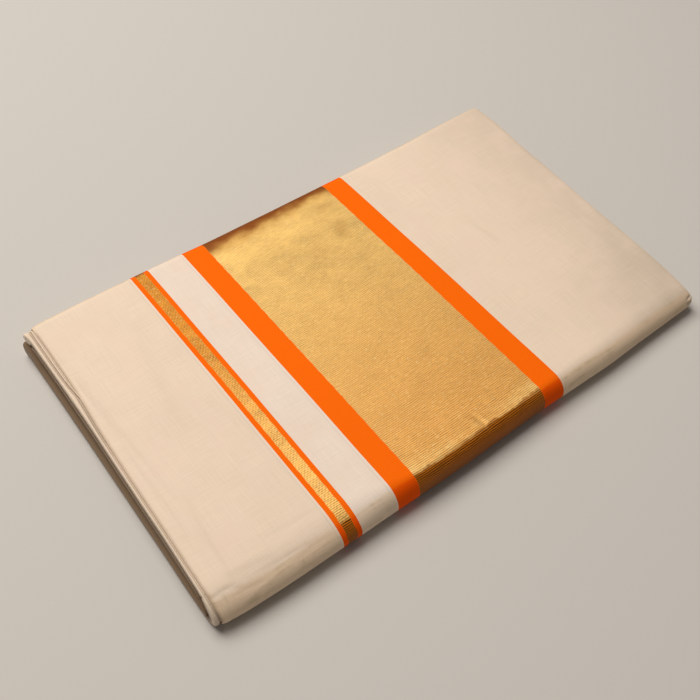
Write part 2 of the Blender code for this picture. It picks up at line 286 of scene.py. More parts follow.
# Creases of the outside: place along and across, heading in degrees, length, width and height
CREASES = dict(zip(("along", "across", "heading", "length", "width", "height"), np.array((
    (-207.4, 62.0, 91.0, 130.0, 0.9, -0.20),
    (-208.2, -40.0, 90.0, 110.0, 1.2, -0.16),
    (-203.5, 20.0, 92.0, 190.0, 1.6, -0.13),
    (-199.0, -90.0, 84.0, 80.0, 2.0, -0.14),
    (-211.0, -124.0, 0.0, 22.0, 0.8, -0.45),
    (-211.6, -131.0, 80.0, 16.0, 0.8, -0.30),
    (-203.0, -127.0, -25.0, 14.0, 0.9, -0.22),
    (-196.0, -131.0, -6.0, 28.0, 1.0, -0.26),
    (-166.0, -128.0, -3.0, 52.0, 1.1, -0.22),
    (-148.0, -132.0, 2.0, 34.0, 0.9, -0.20),
    (-183.0, -134.0, 3.0, 40.0, 0.7, 0.18),
    (-173.0, -106.0, -10.0, 34.0, 1.5, 0.13),
    (-150.0, -112.0, -4.0, 60.0, 2.4, -0.12),
    (-187.0, -121.0, -9.0, 44.0, 2.2, -0.16),
    (-160.0, 40.0, 80.0, 120.0, 4.0, -0.08),
    (-2.5, -125.0, 102.0, 20.0, 1.6, -0.46),
    (1.6, -127.0, 94.0, 12.0, 1.4, 0.2),
    (-8.0, -129.6, -1.0, 126.0, 1.3, 0.25),
    (33.0, 82.0, 60.0, 26.0, 6.0, -0.34),
    (38.0, 111.0, 15.0, 22.0, 4.5, -0.30),
    (5.0, 72.0, 115.0, 24.0, 6.0, -0.24),
    (22.0, 96.0, 150.0, 20.0, 5.0, 0.22),
    (123.0, 11.0, 98.0, 36.0, 1.8, -0.16),
    (118.0, 2.0, 96.0, 30.0, 2.0, 0.10),
    (196.0, -43.0, 91.0, 90.0, 2.4, -0.12),
    (191.0, -66.0, 94.0, 50.0, 2.0, 0.12),
    (203.0, -20.0, 88.0, 60.0, 2.4, -0.12),
    (218.8, 43.0, 86.0, 36.0, 1.4, -0.16),
    (150.0, -95.0, 12.0, 55.0, 3.2, -0.05),
    (206.5, -131.0, 12.0, 7.0, 0.6, -0.8),
    (206.5, -132.3, 4.0, 6.0, 0.5, 0.5),
    (206.0, -133.5, -4.0, 7.0, 0.4, -0.8),
)).T))
# How far a crease bends aside at its ends, in its widths, and how deep it is where its painted shade is
# full
CREASE_BOW = 0.5
CREASE_SHADE_DEPTH = 0.5
# Fine and broad unevenness of soft cloth: its height, and two waves that cross in it, each with
# its turn and its lengths along and across the bundle, endless where it doesn't change that way
UNEVENNESS = (
    (0.03, (9.3, 17.0, 0.0), (-41.0, 12.7, 0.0)),
    (0.06, (23.0, -29.0, 1.3), (np.inf, 19.0, 0.4 + np.pi / 2)),
)

# Cotton of the end fields, the whiter field between the borders, the inner plies and the core
FIELD_COLOUR = (0.86, 0.715, 0.565)
MIDDLE_COLOUR = (0.88, 0.765, 0.66)
LAYER_COLOUR = (0.83, 0.69, 0.54)
CORE_COLOUR = (0.78, 0.66, 0.51)
# Its tints: pink patches; streaks, partly painted shade, and a warm painted shade where it turns down;
# painted shade in creases; and painted deep shade
PINK_COTTON = (0.88, 0.695, 0.575)
STREAKS_AND_SHADE_COTTON = (0.40, 0.34, 0.23)
SIDE_SHADE_COTTON = (0.80, 0.56, 0.31)
CREASE_SHADE_COTTON = (0.55, 0.47, 0.36)
SHADED_COTTON = (0.16, 0.095, 0.045)
# From one thread of its weave to the next
THREAD_PITCH = 0.84
# Painted shade: it darkens towards the right end, more so at the front and most at the near right
# corner
DARKER_ALONG = (120.0, 225.0)
DARKER_ACROSS = (20.0, -60.0)
CORNER_ALONG = (90.0, 160.0)
CORNER_ACROSS = (-40.0, -120.0)
# Before a border runs a grey pick, with whiter cotton after it: how far before, and how wide
GREY_PICK = (0.50, 0.47, 0.47)
GREY_PICK_BEFORE = 2.1
GREY_PICK_WIDTH = (0.7, 0.2)
WHITE_PICKS = (0.90, 0.81, 0.70)
WHITE_PICKS_BEFORE = (1.7, 1.2)

# Orange yarn, its painted shade where it turns down, and from one of its ribs to the next
ORANGE = (1.0, 0.155, 0.002)
SIDE_SHADE_ORANGE = (0.84, 0.06, 0.0)
ORANGE_RIB_PITCH = 1.8

# Gold yarn of the wide panel and of the narrow band, under 10 mm: its colour at the back and at
# the front, whose difference is painted light and shade, from where to where it changes, how strong
# its ticks are, and where shade is painted along its back edge
WIDE_GOLD = {"back": (0.76, 0.50, 0.165), "front": (0.73, 0.385, 0.102), "change": (110.0, -130.0),
             "ticks": 0.015, "back_shade": (118.5, 130.0)}
NARROW_GOLD = {"back": (0.58, 0.245, 0.025), "front": (0.81, 0.47, 0.13), "change": (75.0, -95.0),
               "ticks": 0.10, "back_shade": (136.0, 142.0)}
NARROW = 10.0
GOLD_METAL = 0.3
# Its ribs, which are crisper above the front edge, and its slanting ticks
RIB_PITCH = 1.47
CRISP_RIBS = (60.0, 17.0)
TICK_PITCH = 2.6
TICK_SLANT = 0.8
# Towards the back the wide panel's patches grow stronger and it grows lighter: painted highlight
MOTTLED = (-20.0, 100.0)
BACK_HIGHLIGHT = (70.0, 115.0)
# Painted glints, small highlights on the yarn: how strong the noise is where they begin and where they
# are full
GLINT_COLOUR = (0.95, 0.68, 0.32)
GLINTS = (0.06, 0.25)
# A highlight is painted along the wide panel's front edge, from just over the painted side shade to
# some way up the top, and most towards both ends
FLARE_COLOUR = (0.96, 0.66, 0.25)
FLARE_STARTS = (13.5, 17.0)
FLARE_ENDS = (31.0, 18.0)
FLARE_FROM_MIDDLE = (15.0, 55.0)
# Where the gold has turned away from facing up, shade is painted on it in bronze; ribs show on its
# upper part, it darkens low down, and on the wide panel it creeps up over the edge
SIDE_SHADE_GOLD = (0.385, 0.113, 0.002)
SIDE_SHADE_FROM = 0.94
SIDE_SHADE_FULL = 0.86
SIDE_SHADE_BLEND = (0.25, 0.75)
SIDE_SHADE_RIBS = (4.0, 15.0)
SIDE_SHADE_LOW = (8.0, 0.0)
SIDE_SHADE_CREEP = (17.2, 15.2)
# Along the back edge shade is painted: a brown band on the wide panel and a darker one on both; the
# line slants
BACK_SHADE_GOLD = (0.54, 0.25, 0.03)
BACK_SHADE_BAND = (112.0, 127.0)
DEEP_BACK_SHADE_GOLD = (0.24, 0.054, 0.0)
BACK_SHADE_SLANT = 0.04
# Painted shade in the gold's creases
CREASE_SHADE_GOLD = (0.40, 0.19, 0.035)
# Where gold and orange meet, their yarns interlock in steps: length, turn from step to step, size
STEP_LENGTH = 3.6
STEP_TURN = 1.7
STEP_SIZE = 0.16


def curve(data, key, column, at):
    """One column of a table, read by a smooth curve through its rows."""
    knots = data[key]
    values = data[column]
    slopes = np.gradient(values, knots)
    row = np.clip(np.searchsorted(knots, at) - 1, 0, len(knots) - 2)
    step = knots[row + 1] - knots[row]
    t = np.clip((at - knots[row]) / step, 0.0, 1.0)
    ease = t * t * (3 - 2 * t)
    blend = values[row] * (1 - ease) + values[row + 1] * ease
    lean = slopes[row] * t * (1 - t) ** 2 - slopes[row + 1] * t * t * (1 - t)
    return blend + step * lean


def bundle(column, x):
    return curve(BUNDLE, "along", column, x)


def end(column, y):
    return curve(ENDS, "across", column, y)


def top_height(x, y):
    """Height of the top: a slight crown and the soft swells that pressed cloth keeps."""
    crown = CROWN * (1 - (y / CROWN_WIDTH) ** 2)
    swell = np.sin(x / SWELL_ALONG + y / SWELL_SLANT) * np.cos(y / SWELL_ACROSS - SWELL_TURN)
    inland = np.clip((1 - np.abs(y) / SWELL_WIDTH) * SWELL_FADE, 0, 1)
    return bundle("top", x) + crown + SWELL * swell * inland


def turns(s):
    """How far a station has turned round the lower nose, the upper nose and the back roll."""
    low = np.clip((s - UNDERSIDE) / (NOSE_TIP - UNDERSIDE), 0, 1) * np.pi / 2
    high = np.clip((s - NOSE_TIP) / (TOP_FRONT - NOSE_TIP), 0, 1) * np.pi / 2
    back = np.clip((s - TOP_BACK) / (ROLL_TIP - TOP_BACK), 0, 1) * np.pi / 2
    return low, high, back


def outside(s, x):
    """A point of the pad's outside, from the selvedge to the back roll's tip."""
    front = -bundle("front", x)
    back = bundle("back", x)
    roll = bundle("roll", x)
    middle = bundle("slit", x)
    edge = front + roll
    hinge = back - BACK_ROLL
    under = s / UNDERSIDE
    low, high, turn = turns(s)
    flat = (s - TOP_FRONT) / (TOP_BACK - TOP_FRONT)
    lift = np.maximum(bundle("lift", x), 0.0)
    back_top = top_height(x, hinge)
    back_middle = (back_top + middle + bundle("gap", x)) / 2
    part = [s <= UNDERSIDE, s <= NOSE_TIP, s <= TOP_FRONT, s <= TOP_BACK, s > TOP_BACK]
    y = np.select(part, [
        (back - SELVEDGE_INSET) * (1 - under) + (front + NOSE_UNDER) * under,
        front + NOSE_UNDER * (1 - np.sin(low)),
        front + roll * (1 - np.cos(high)),
        edge * (1 - flat) + hinge * flat,
        hinge + BACK_ROLL * np.sin(turn),
    ])
    z = np.select(part, [
        lift * np.clip(s - UNDERSIDE + 1, 0, 1),
        lift + (middle - lift) * (1 - np.cos(low)),
        middle + (top_height(x, edge) - middle) * np.sin(high),
        top_height(x, y),
        back_middle + (back_top - back_middle) * np.cos(turn),
    ])
    return y, z


def inside(s, x):
    """The point across the pad from the one that outside gives: on a face of the slit."""
    front = -bundle("front", x)
    back = bundle("back", x)
    middle = bundle("slit", x)
    gap = bundle("gap", x)
    tip = front + NOSE_DEPTH
    start = front + np.maximum(bundle("roll", x), SLIT_START)
    hinge = back - BACK_ROLL
    under = s / UNDERSIDE
    low, high, turn = turns(s)
    flat = (s - TOP_FRONT) / (TOP_BACK - TOP_FRONT)
    back_middle = (top_height(x, hinge) + middle + gap) / 2
    part = [s <= UNDERSIDE, s <= NOSE_TIP, s <= TOP_FRONT, s <= TOP_BACK, s > TOP_BACK]
    y = np.select(part, [
        (back - SELVEDGE_INSET) * (1 - under) + (front + SLIT_START) * under,
        tip + (SLIT_START - NOSE_DEPTH) * (1 - np.sin(low)),
        tip + (start - tip) * (1 - np.cos(high)),
        start * (1 - flat) + hinge * flat,
        hinge + BACK_ROLL * np.sin(turn),
    ])
    z = np.select(part, [
        middle - gap,
        middle - gap * np.cos(low),
        middle + gap * np.sin(high),
        middle + gap,
        back_middle - (back_middle - middle - gap) * np.cos(turn),
    ])
    return y, z


def pad(s, x):
    """A point of the whole contour: outside up to the back roll's tip, and then back inside."""
    partner = np.minimum(s, LAST - s)
    out = outside(partner, x)
    back = inside(partner, x)
    return np.where(s <= ROLL_TIP, out[0], back[0]), np.where(s <= ROLL_TIP, out[1], back[1])


def contour(s, x, depth):
    """The pad's contour moved inward by depth, at its own place x along the bundle."""
    before = pad(np.maximum(s - CONTOUR_STEP, 0.0), x)
    after = pad(np.minimum(s + CONTOUR_STEP, float(LAST)), x)
    y, z = pad(s, x)
    dy = after[0] - before[0]
    dz = after[1] - before[1]
    size = np.maximum(np.hypot(dy, dz), NO_LENGTH)
    return np.stack([y + depth * dz / size, z - depth * dy / size], axis=-1)


def across(s):
    """How far across the bundle a station lies, for reading the outline of its ends."""
    return outside(np.minimum(s, LAST - s), 0 * s + FOLD_REACH)[0]


def stations(first=0, last=LAST):
    """Stations round the pad, close together where it turns."""
    found = [0.0]
    for stop, cells in ROUND_CELLS:
        found.extend(np.linspace(found[-1], stop, cells + 1)[1:])
    found = np.array(found)
    found = np.append(found, LAST - found[-2::-1])
    return found[(found >= first) & (found <= last)]


def waver(y, phase):
    """Unevenness of a folded edge, in millimetres."""
    return sum(size * np.sin(y / length + shift * phase) for size, length, shift in WAVER)


def nub(place):
    """How far the roll has turned into its nub at the back: 0 before it and 1 at its tip."""
    return np.clip((place - NUB_FROM) / (NUB_FULL - NUB_FROM), 0, 1)


def nested(turn, folds):
    """Nested folds seen end on, over a quarter turn: 1 on a fold and 0 in the groove beside it."""
    return np.abs(np.sin(folds * 2 * turn)) ** FOLD_FULLNESS


def creases(x, y):
    """How far the creases stand out of the outside; most of them are troughs."""
    total = 0 * x
    for along, aside, heading, length, width, height in zip(*CREASES.values()):
        cos = np.cos(np.radians(heading))
        sin = np.sin(np.radians(heading))
        run = ((x - along) * cos + (y - aside) * sin) / (length / 2)
        off = ((y - aside) * cos - (x - along) * sin) / width + CREASE_BOW * run ** 2
        total = total + height * np.exp(-off * off) * np.clip(1 - run * run, 0, 1)
    return total


def ripple(x, y, along, aside, turn):
    return np.sin(x / along + y / aside + turn)


def relief(s, x, y):
    """How far the outside stands out: its creases, and the fine unevenness of soft cloth."""
    total = creases(x, y)
    for height, first, second in UNEVENNESS:
        total = total + height * ripple(x, y, *first) * ripple(x, y, *second)
    return total * ((s <= ROLL_TIP) & (s > UNDERSIDE))


def ring(s, x, depth):
    """The outer ply right round the pad, with its two selvedges turned in."""
    points = contour(s, x, depth - relief(s, x, pad(s, x)[0]))
    points[..., 1] = np.maximum(points[..., 1], 0.0)
    hems = []
    for row, up in ((0, 1), (-1, -1)):
        angle = np.linspace(0, np.pi, HEM_CELLS)[1:]
        y = np.append(points[row, 0] - HEM_RADIUS * (1 - np.sin(angle)), points[row, 0] - HEM_TURNING)
        rise = np.append(HEM_RADIUS * (1 - np.cos(angle)), 2 * HEM_RADIUS)
        rise = np.maximum(rise, np.mean(depth))
        base = points[row, 1] - up * np.mean(depth)
        hems.append(np.stack([y, base + up * rise], axis=-1))
    y_z = np.concatenate([hems[0][::-1], points, hems[1]])
    reach = np.concatenate([np.full(HEM_CELLS, x[0]), x, np.full(HEM_CELLS, x[-1])])
    return np.column_stack([reach, y_z])


def directions(points):
    """Outward directions of a grid of points, read across its neighbours."""
    around = np.gradient(points, axis=0)
    along = np.gradient(points, axis=1)
    out = np.cross(along, around)
    return out / np.maximum(np.linalg.norm(out, axis=-1, keepdims=True), NO_AREA)


def lengths(points):
    """The cut of a grid of points: how far each lies along and round the cloth, in millimetres."""
    along = np.linalg.norm(np.diff(points, axis=1), axis=-1)
    around = np.linalg.norm(np.diff(points, axis=0), axis=-1)
    u = np.pad(np.cumsum(along, axis=1), ((0, 0), (1, 0)))
    v = np.pad(np.cumsum(around, axis=0), ((1, 0), (0, 0)))
    return u, v


def make_sheet(name, points, cut, marks, finish, stands_for, out=None, closed=False):
    """A sheet of cloth: a flat grid moved to its folded form, with its cut as its UV map.

    Its marks say, point by point, where it turns down at its side, where shade is painted on it and
    where it is creased; the materials paint shade from all three.
    """
    out = directions(points) if out is None else out
    rows, columns = points.shape[:2]
    mesh = bmesh.new()
    bmesh.ops.create_grid(mesh, x_segments=columns - 1, y_segments=rows - 1, size=1.0)
    data = bpy.data.meshes.new(name)
    mesh.to_mesh(data)
    data.vertices.foreach_set("co", (points * MM).reshape(-1))
    corner = np.zeros(len(data.loops), dtype=np.int32)
    data.loops.foreach_get("vertex_index", corner)
    data.uv_layers.new(name="cut").data.foreach_set("uv", (cut.reshape(-1, 2)[corner] * MM).reshape(-1))
    for mark, values in marks.items():
        data.attributes.new(mark, "FLOAT", "POINT").data.foreach_set("value", values.reshape(-1))
    data.attributes.new("out", "FLOAT_VECTOR", "POINT").data.foreach_set("vector", out.reshape(-1))
    mesh.clear()
    mesh.from_mesh(data)
    if closed:
        bmesh.ops.remove_doubles(mesh, verts=mesh.verts, dist=SAME_POINT)
    bmesh.ops.dissolve_degenerate(mesh, edges=mesh.edges, dist=NO_EDGE)
    mesh.to_mesh(data)
    mesh.free()
    data.shade_smooth()
    outward = np.zeros(3 * len(data.vertices), dtype=np.float32)
    data.attributes["out"].data.foreach_get("vector", outward)
    data.normals_split_custom_set_from_vertices(outward.reshape(-1, 3))
    data.attributes.remove(data.attributes["out"])
    data.materials.append(finish.material)
    piece = bpy.data.objects.new(name + "_cloth", data)
    bpy.context.scene.collection.objects.link(piece)
    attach(piece, "root")
    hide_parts(stands_for)
    return piece


class Socket:
    """One output of a shader node. Sums and products of sockets and numbers add Math nodes."""

    def __init__(self, finish, output):
        self.finish = finish
        self.output = output

    def math(self, operation, *values):
        inputs = dict(enumerate(values))
        return self.finish.node("ShaderNodeMath", {"operation": operation}, inputs)

    def __add__(self, other):
        return self.math("ADD", self, other)

    def __sub__(self, other):
        return self.math("SUBTRACT", self, other)

    def __rsub__(self, other):
        return self.math("SUBTRACT", other, self)

    def __mul__(self, other):
        return self.math("MULTIPLY", self, other)

    def __truediv__(self, other):
        return self.math("DIVIDE", self, other)

    def __gt__(self, other):
        return self.math("GREATER_THAN", self, other)

    def sin(self):
        return self.math("SINE", self)

    def floor(self):
        return self.math("FLOOR", self)

    def size(self):
        return self.math("ABSOLUTE", self)

    __radd__ = __add__
    __rmul__ = __mul__


class Finish:
    """The material of one stretch of cloth, with the places that its patterns read.

    In millimetres, u and v are how far along and round the cloth a point lies, and y is its place
    across the bundle. On the outer ply u is the place along the bundle, and v is 0 at the nose.
    """

    def __init__(self, name, slot, **fixed):
        self.slot = slot
        self.material = bpy.data.materials.new(name)
        self.material.use_nodes = True
        self.tree = self.material.node_tree
        self.shader = self.tree.nodes["Principled BSDF"]
        for key, value in fixed.items():
            words = key.replace("_", " ").title().replace("Ior", "IOR")
            self.shader.inputs[words].default_value = value
        cut = self.node("ShaderNodeUVMap", {"uv_map": "cut"})
        self.u = self.node("ShaderNodeSeparateXYZ", {}, {0: cut}, output=0) / MM
        self.v = self.node("ShaderNodeSeparateXYZ", {}, {0: cut}, output=1) / MM
        self.side, self.shade, self.crease = (
            self.node("ShaderNodeAttribute", {"attribute_name": mark}, output=2)
            for mark in ("side", "shade", "crease"))
        place = self.node("ShaderNodeTexCoord", output=3)
        self.y = self.node("ShaderNodeSeparateXYZ", {}, {0: place}, output=1) / MM

    def node(self, kind, settings=None, inputs=None, output=0):
        """Any node, from its type, its settings and the values or links of its inputs."""
        made = self.tree.nodes.new(kind)
        for key, value in (settings or {}).items():
            setattr(made, key, value)
        for key, value in (inputs or {}).items():
            self.put(made.inputs[key], value)
        return Socket(self, made.outputs[output])

    def put(self, socket, value):
        if isinstance(value, Socket):
            self.tree.links.new(value.output, socket)
        elif socket.type == "RGBA":
            socket.default_value = (*value, 1.0)
        else:
            socket.default_value = value

    def mix(self, share, first, second, way="MIX"):
        """Two colours mixed by a share."""
        settings = {"data_type": "RGBA", "blend_type": way, "clamp_factor": True}
        return self.node("ShaderNodeMix", settings, {0: share, 6: first, 7: second}, output=2)

    def tinted(self, colour, share):
        """A colour made lighter or darker by a share that may run below zero."""
        grey = self.node("ShaderNodeCombineColor", {}, {0: 1 + share, 1: 1 + share, 2: 1 + share})
        return self.mix(1.0, colour, grey, "MULTIPLY")

    def grade(self, value, low, high):
        """A value taken from low to high as 0 to 1, softly."""
        settings = {"interpolation_type": "SMOOTHSTEP"}
        return self.node("ShaderNodeMapRange", settings, {0: value, 1: low, 2: high})

    def noise(self, along, around, detail=2.0, seed=0.0):
        """Noise from -0.5 to 0.5 whose spots are that long along and round the cloth."""
        inputs = {0: self.u / along, 1: self.v / around, 2: seed}
        place = self.node("ShaderNodeCombineXYZ", {}, inputs)
        made = {"Vector": place, "Scale": 1.0, "Detail": detail}
        return self.node("ShaderNodeTexNoise", {}, made) - 0.5

    def wave(self, value, pitch):
        return (value * (2 * np.pi / pitch)).sin()

    def finish(self, colour, unevenness, height):
        """Colour, what is added to the roughness and a bump height in millimetres go to the shader."""
        bump = {"Height": height * MM, "Distance": 1.0, "Strength": 1.0}
        rough = self.shader.inputs["Roughness"]
        self.put(self.shader.inputs["Normal"], self.node("ShaderNodeBump", {}, bump))
        self.put(self.shader.inputs["Base Color"], colour)
        self.put(rough, rough.default_value + unevenness)
        return self


def cotton(name, slot="cotton", colour=FIELD_COLOUR, line=None):
    """Unbleached cotton: a fine plain weave with slubs, a grey pick line before a border, and painted
    shade.
    """
    cloth = Finish(name, slot, roughness=0.88, specular_ior_level=0.25, sheen_weight=0.15,
                   sheen_roughness=0.5)
    threads = cloth.wave(cloth.u, THREAD_PITCH) * cloth.wave(cloth.v, THREAD_PITCH)
    slubs = (cloth.noise(along=22.0, around=0.7, detail=3.0)
             + cloth.noise(along=0.7, around=26.0, detail=3.0, seed=7.0))
    mottle = cloth.noise(along=30.0, around=42.0, detail=4.0, seed=3.0)
    # Painted shade towards the right end, the front and the near right corner
    painted_falloff = cloth.grade(cloth.u, *DARKER_ALONG) * (0.15 + 0.05 * cloth.grade(cloth.y, *DARKER_ACROSS))
    corner = cloth.grade(cloth.u, *CORNER_ALONG) * cloth.grade(cloth.y, *CORNER_ACROSS)
    painted_falloff = painted_falloff + 0.08 * corner
    base = cloth.tinted(colour, 0.008 * threads + 0.17 * slubs + 0.10 * mottle - painted_falloff)
    pink = cloth.grade(cloth.noise(along=26.0, around=34.0, seed=11.0), -0.15, 0.3)
    base = cloth.mix(pink * 0.5, base, PINK_COTTON)
    # Streaks and a warm tint where it turns down, partly painted shade
    streaks = (cloth.noise(along=26.0, around=3.4, detail=3.0, seed=13.0)
               + 0.5 * cloth.noise(along=6.0, around=9.0, detail=3.0, seed=17.0))
    streaks = cloth.grade(streaks, 0.0, 0.28) * cloth.side
    base = cloth.mix(streaks * 0.5, base, STREAKS_AND_SHADE_COTTON)
    base = cloth.mix(cloth.side * 0.4, base, SIDE_SHADE_COTTON)
    # Painted shade in creases
    base = cloth.mix(cloth.crease * 0.55, base, CREASE_SHADE_COTTON)
    if line is not None:
        away = (cloth.u - (line - GREY_PICK_BEFORE)).size()
        grey = cloth.grade(away, *GREY_PICK_WIDTH) * (1 - 0.5 * cloth.side)
        white = cloth.grade(cloth.u, *(line - before for before in WHITE_PICKS_BEFORE))
        base = cloth.mix(grey * 0.2, base, GREY_PICK)
        base = cloth.mix(white * 0.3, base, WHITE_PICKS)
    # Painted deep shade, where the shade mark asks for it
    base = cloth.mix(cloth.shade, base, SHADED_COTTON)
    return cloth.finish(base, 0.1 * slubs, 0.04 * threads + 0.10 * slubs)


def orange(name):
    """Dyed cotton packed over its warp in fine ribs, with redder shade painted where it turns down."""
    cloth = Finish(name, "orange_yarn", roughness=0.7, specular_ior_level=0.04)
    ribs = cloth.wave(cloth.v, ORANGE_RIB_PITCH)
    threads = cloth.noise(along=7.0, around=0.9)
    shade = 0.02 * ribs + 0.08 * threads
    base = cloth.tinted(ORANGE, shade)
    # Redder painted shade where it turns down
    base = cloth.mix(cloth.side * 0.6, base, cloth.tinted(SIDE_SHADE_ORANGE, shade))
    return cloth.finish(base, 0.1 * threads, 0.02 * ribs + 0.03 * threads)


def gold(name, left, right):
    """Gold yarn in ribs along the bundle, with shade painted in bronze where the cloth turns down."""
    cloth = Finish(name, "gold_zari", roughness=0.56, specular_ior_level=0.25)
    narrow = right - left < NARROW
    look = NARROW_GOLD if narrow else WIDE_GOLD
    stray = 1.2 * cloth.noise(along=13.0, around=5.0, seed=25.0)
    broken = 0.75 + 2.2 * cloth.noise(along=6.0, around=1.5)
    ribs = cloth.wave(cloth.v + stray, RIB_PITCH) * broken
    ticks = cloth.wave(cloth.u - TICK_SLANT * cloth.v, TICK_PITCH)
    threads = cloth.noise(along=5.0, around=1.3, seed=2.0)
    shade = (0.30 + 0.18 * cloth.grade(cloth.v, *CRISP_RIBS)) * ribs + look["ticks"] * ticks
    shade = shade + 0.42 * threads + gold_patches(cloth, narrow)
    # From back to front the colour changes as painted light and shade
    bright = cloth.mix(cloth.grade(cloth.y, *look["change"]), look["back"], look["front"])
    bright = cloth.tinted(bright, shade)
    # Painted glints
    glints = cloth.grade(cloth.noise(along=3.2, around=1.4, detail=1.0, seed=41.0), *GLINTS)
    bright = cloth.mix(glints * 0.4, bright, GLINT_COLOUR)
    # A painted highlight along the wide panel's front edge
    if not narrow:
        flare = front_flare(cloth, (left + right) / 2)
        bright = cloth.mix(flare, bright, cloth.tinted(FLARE_COLOUR, shade))
    # Painted shade in bronze where it turns down
    base = side_shaded(cloth, bright, ribs, narrow)
    # Painted shade along the back edge
    base = back_shaded(cloth, base, look["back_shade"], narrow)
    # Painted shade in creases
    base = cloth.mix(cloth.crease * 0.45, base, CREASE_SHADE_GOLD)
    step = (cloth.wave((cloth.v / STEP_LENGTH).floor() * STEP_TURN, 1.0) + 1) * STEP_SIZE
    inner = ((cloth.u - left) > step) * ((right - cloth.u) > step)
    base = cloth.mix(inner, ORANGE, base)
    cloth.put(cloth.shader.inputs["Metallic"], inner * GOLD_METAL)
    height = (0.03 + 0.05 * cloth.side) * ribs + 0.004 * ticks + 0.02 * threads
    return cloth.finish(base, 0.15 * threads, height)


def gold_patches(cloth, narrow):
    """Lighter and darker patches: coarse in the narrow band; in the wide panel, painted highlight at
    the back.
    """
    mottle = (cloth.noise(along=34.0, around=24.0, detail=3.0, seed=5.0)
              + 0.8 * cloth.noise(along=15.0, around=11.0, detail=3.0, seed=45.0))
    if narrow:
        grains = cloth.noise(along=1.5, around=1.1, detail=1.0, seed=31.0)
        return 0.42 * mottle + 0.8 * grains + 0.5 * cloth.noise(along=12.0, around=10.0, seed=33.0)
    # Stronger patches and a lighter back: painted highlight
    patch_strength = 0.18 + 0.34 * cloth.grade(cloth.y, *MOTTLED)
    return patch_strength * mottle + 0.10 * cloth.grade(cloth.y, *BACK_HIGHLIGHT)


def front_flare(cloth, middle):
    """How much highlight is painted along the wide panel's front edge, in patches."""
    ends = cloth.grade((cloth.u - middle).size(), *FLARE_FROM_MIDDLE)
    patches = 0.1 + 0.35 * ends + 1.2 * cloth.noise(along=9.0, around=6.0, seed=43.0)
    return cloth.grade(cloth.v, *FLARE_STARTS) * cloth.grade(cloth.v, *FLARE_ENDS) * patches


def side_shaded(cloth, bright, ribs, narrow):
    """Gold with shade painted in bronze where the cloth turns down at its sides."""
    streaks = cloth.noise(along=30.0, around=2.0, seed=9.0)
    strong = 1.2 * ribs * cloth.grade(cloth.v, *SIDE_SHADE_RIBS) + 0.35 * streaks
    shaded_gold = cloth.tinted(SIDE_SHADE_GOLD, strong - 0.25 * cloth.grade(cloth.v, *SIDE_SHADE_LOW))
    base = cloth.mix(cloth.grade(cloth.side, *SIDE_SHADE_BLEND), bright, shaded_gold)
    if not narrow:
        creep = cloth.v + 11.0 * cloth.noise(along=9.0, around=30.0, detail=3.0, seed=47.0)
        base = cloth.mix(cloth.grade(creep, *SIDE_SHADE_CREEP) * 0.7, base, shaded_gold)
    return base


def back_shaded(cloth, base, back_shade, narrow):
    """Gold with shade painted along its back edge, in a brown band and a darker one, both uneven."""
    uneven = 16.0 * cloth.noise(along=20.0, around=14.0, detail=3.0, seed=21.0)
    back = cloth.y - BACK_SHADE_SLANT * cloth.u + uneven
    if not narrow:
        base = cloth.mix(cloth.grade(back, *BACK_SHADE_BAND) * 0.6, base, BACK_SHADE_GOLD)
    return cloth.mix(cloth.grade(back, *back_shade) * 0.95, base, DEEP_BACK_SHADE_GOLD)


def stretch_finish(name, yarn, number):
    """The finish of a stretch of the outer ply, by its yarn and its number from the left."""
    if yarn == "gold_zari":
        return gold(name, BAND_EDGES[number - 1], BAND_EDGES[number])
    if yarn == "orange_yarn":
        return orange(name)
    line = BAND_EDGES[number] if number < len(BANDS) else None
    colour = MIDDLE_COLOUR if name == "cotton_field_middle" else FIELD_COLOUR
    return cotton(name, colour=colour, line=line)


def outer_ply():
    """The outer ply as one weave: its points, and the columns between which its stretches lie."""
    s = stations()
    level = 0 * s
    place = across(s)
    shown = np.clip(np.minimum(s - UNDERSIDE + 1, ROLL_TIP + 1 - s), 0, 1)
    left = OUTER_RECESS * (1 - shown) + (end("outer_ply", place) + waver(place, OUTER_PHASE)) * shown
    right = end("right_end", place) - END_ROLL
    columns = []
    for back in np.linspace(EDGE_TURNING, EDGE_RADIUS, TURNING_CELLS + 1)[:-1]:
        columns.append(ring(s, left + back, level + PLY))
    for angle in np.linspace(0, np.pi, EDGE_CELLS + 1)[:-1]:
        x = left + EDGE_RADIUS * (1 - np.sin(angle))
        columns.append(ring(s, x, level + PLY - (PLY - DIP) * (1 - np.cos(angle)) / 2))
    for share in DIP_SHARES:
        x = left + EDGE_RADIUS + DIP_LENGTH * share
        columns.append(ring(s, x, level + DIP * (1 - share) ** 2))
    start = left + EDGE_RADIUS + DIP_LENGTH
    edges = [0]
    for stop in (*BAND_EDGES, right):
        cells = max(NARROWEST_CELLS, int(np.ceil(np.max(stop - start) / CELL)))
        for share in np.linspace(0, 1, cells + 1)[:-1]:
            columns.append(ring(s, start + (stop - start) * share, level))
        edges.append(len(columns))
        start = level + stop
    last = ring(s, right, level)
    middle = (last + last[::-1]) / 2
    for turn in np.linspace(0, np.pi / 2, CAP_CELLS + 1):
        groove = np.clip(turn / END_GROOVES_FULL, 0, 1) * END_GROOVE * (1 - nested(turn, END_FOLDS))
        line = END_LINE_DEPTH * np.exp(-((turn - END_LINE_TURN) / END_LINE_WIDTH) ** 2)
        column = middle + (last - middle) * (np.cos(turn) - line)
        column[:, 0] = last[:, 0] + END_ROLL * np.sin(turn) - groove
        columns.append(column)
    edges[-1] = len(columns) - 1
    return np.stack(columns, axis=1), edges


